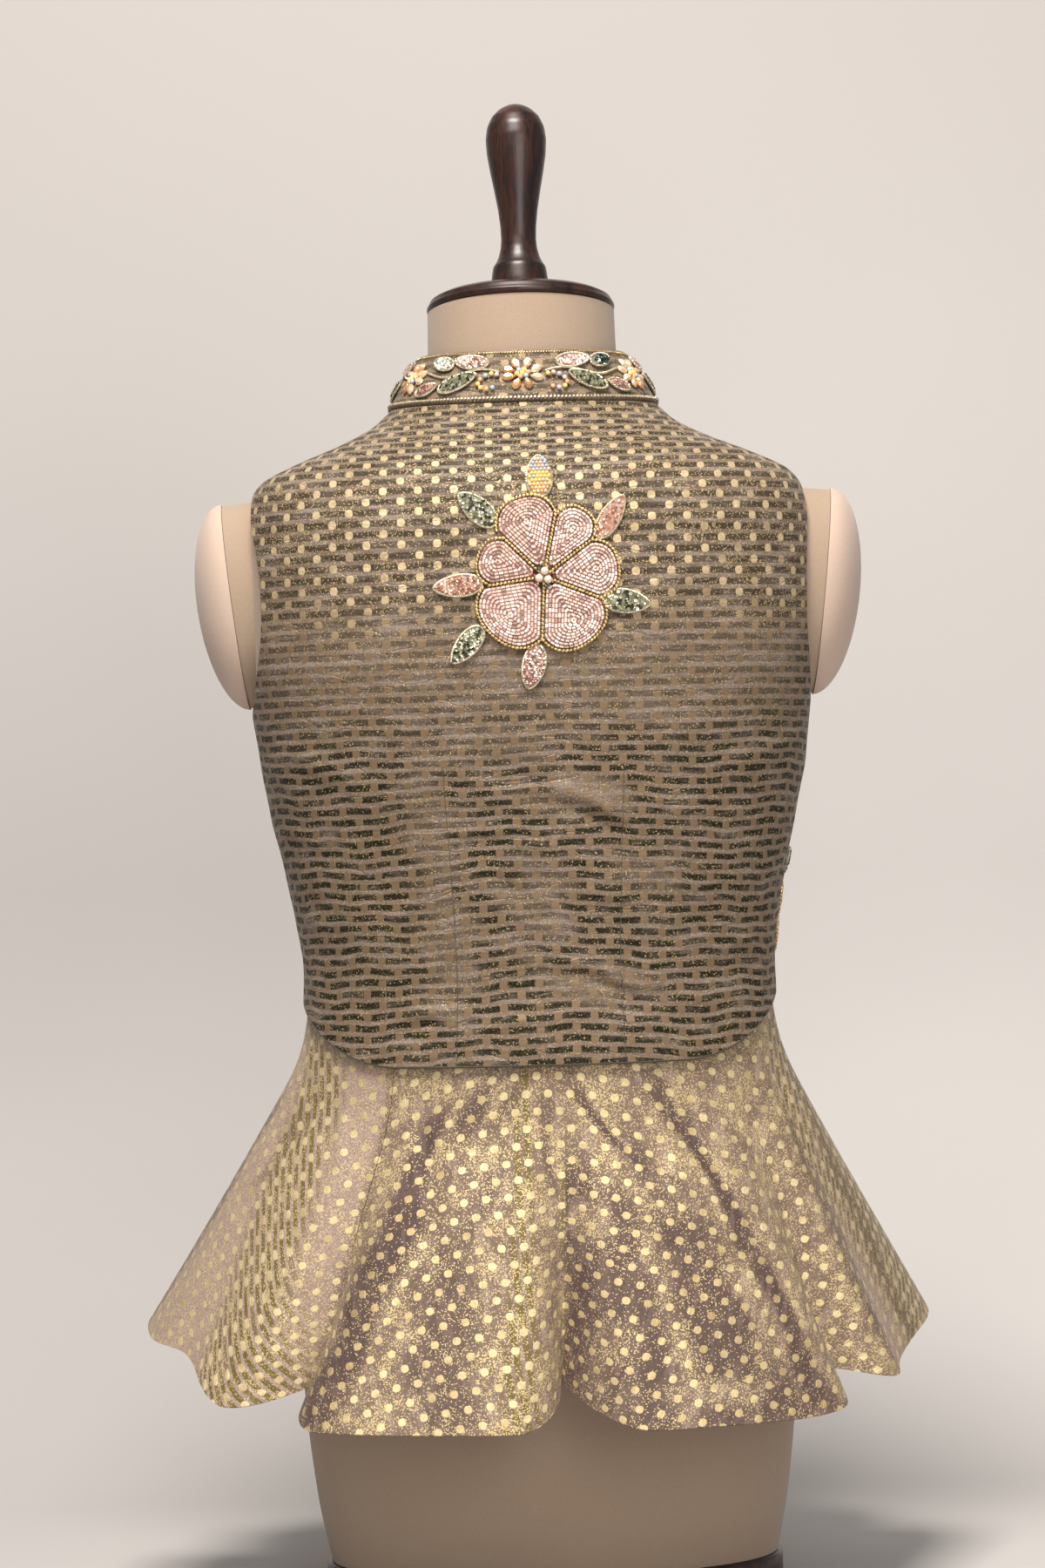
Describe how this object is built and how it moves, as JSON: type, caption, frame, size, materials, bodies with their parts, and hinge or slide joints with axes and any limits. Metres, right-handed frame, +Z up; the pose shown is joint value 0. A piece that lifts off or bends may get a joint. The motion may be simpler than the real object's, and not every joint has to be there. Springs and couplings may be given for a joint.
{
  "type": "peplum top on a dress form",
  "caption": "Sleeveless brocade top with a beaded stand collar, a beaded flower on the back and a flared peplum, on a limbless dress form with a turned handle.",
  "frame": {"origin": "middle of the underside of the form's base board", "axes": "+Z up, -Y is the garment's back, +Y its front, +X the wearer's right"},
  "size_m": [0.4856, 0.3867, 0.9201],
  "materials": {
    "form_linen": "plain linen cover",
    "cap_linen": "plain linen cover",
    "walnut": "dark polished",
    "brocade": "brocade with gold dots",
    "peplum_brocade": "brocade with gold dots",
    "pink_glass": "rows of glass bugle beads",
    "green_sequin": "sequins",
    "peach_sequin": "sequins",
    "pastel_beads": "seed beads",
    "amber_crystal": "faceted crystals",
    "pearl": "pearl"
  },
  "bodies": {
    "root": {"form_torso": "form_linen", "form_arm_cap_left": "cap_linen", "form_arm_cap_right": "cap_linen", "form_base_board": "walnut", "form_neck_disc": "walnut", "form_handle": "walnut", "bodice_back": "brocade", "bodice_front_right": "brocade", "bodice_front_left": "brocade", "collar": "brocade", "peplum_back": "peplum_brocade", "peplum_left": "peplum_brocade", "peplum_right": "peplum_brocade", "back_motif_petal_1": "pink_glass", "back_motif_petal_2": "pink_glass", "back_motif_petal_3": "pink_glass", "back_motif_petal_4": "pink_glass", "back_motif_petal_5": "pink_glass", "back_motif_petal_6": "pink_glass", "back_motif_leaf_pastel": "pastel_beads", "back_motif_leaf_peach_a": "peach_sequin", "back_motif_leaf_green_a": "green_sequin", "back_motif_leaf_peach_b": "peach_sequin", "back_motif_leaf_green_b": "green_sequin", "back_motif_leaf_peach_c": "peach_sequin", "back_motif_leaf_green_c": "green_sequin", "back_motif_centre": "pearl", "side_motif_petal_1": "pink_glass", "side_motif_petal_2": "pink_glass", "side_motif_petal_3": "pink_glass", "side_motif_petal_4": "pink_glass", "side_motif_petal_5": "pink_glass", "side_motif_petal_6": "pink_glass", "side_motif_leaf_peach_a": "peach_sequin", "side_motif_leaf_green_a": "green_sequin", "side_motif_leaf_green_c": "green_sequin", "side_motif_centre": "pearl", "collar_flower_back": "amber_crystal", "collar_flower_left_1": "amber_crystal", "collar_leaf_left_1_upper_peach": "peach_sequin", "collar_leaf_left_1_lower_green": "green_sequin", "collar_leaf_left_1_upper_green": "green_sequin", "collar_leaf_left_1_lower_peach": "peach_sequin", "collar_flower_left_2": "amber_crystal", "collar_leaf_left_2_upper_peach": "peach_sequin", "collar_leaf_left_2_lower_green": "green_sequin", "collar_leaf_left_2_upper_green": "green_sequin", "collar_leaf_left_2_lower_peach": "peach_sequin", "collar_flower_right_1": "amber_crystal", "collar_leaf_right_1_upper_peach": "peach_sequin", "collar_leaf_right_1_lower_green": "green_sequin", "collar_leaf_right_1_upper_green": "green_sequin", "collar_leaf_right_1_lower_peach": "peach_sequin", "collar_flower_right_2": "amber_crystal", "collar_leaf_right_2_upper_peach": "peach_sequin", "collar_leaf_right_2_lower_green": "green_sequin", "collar_leaf_right_2_upper_green": "green_sequin", "collar_leaf_right_2_lower_peach": "peach_sequin"}
  },
  "joints": []
}
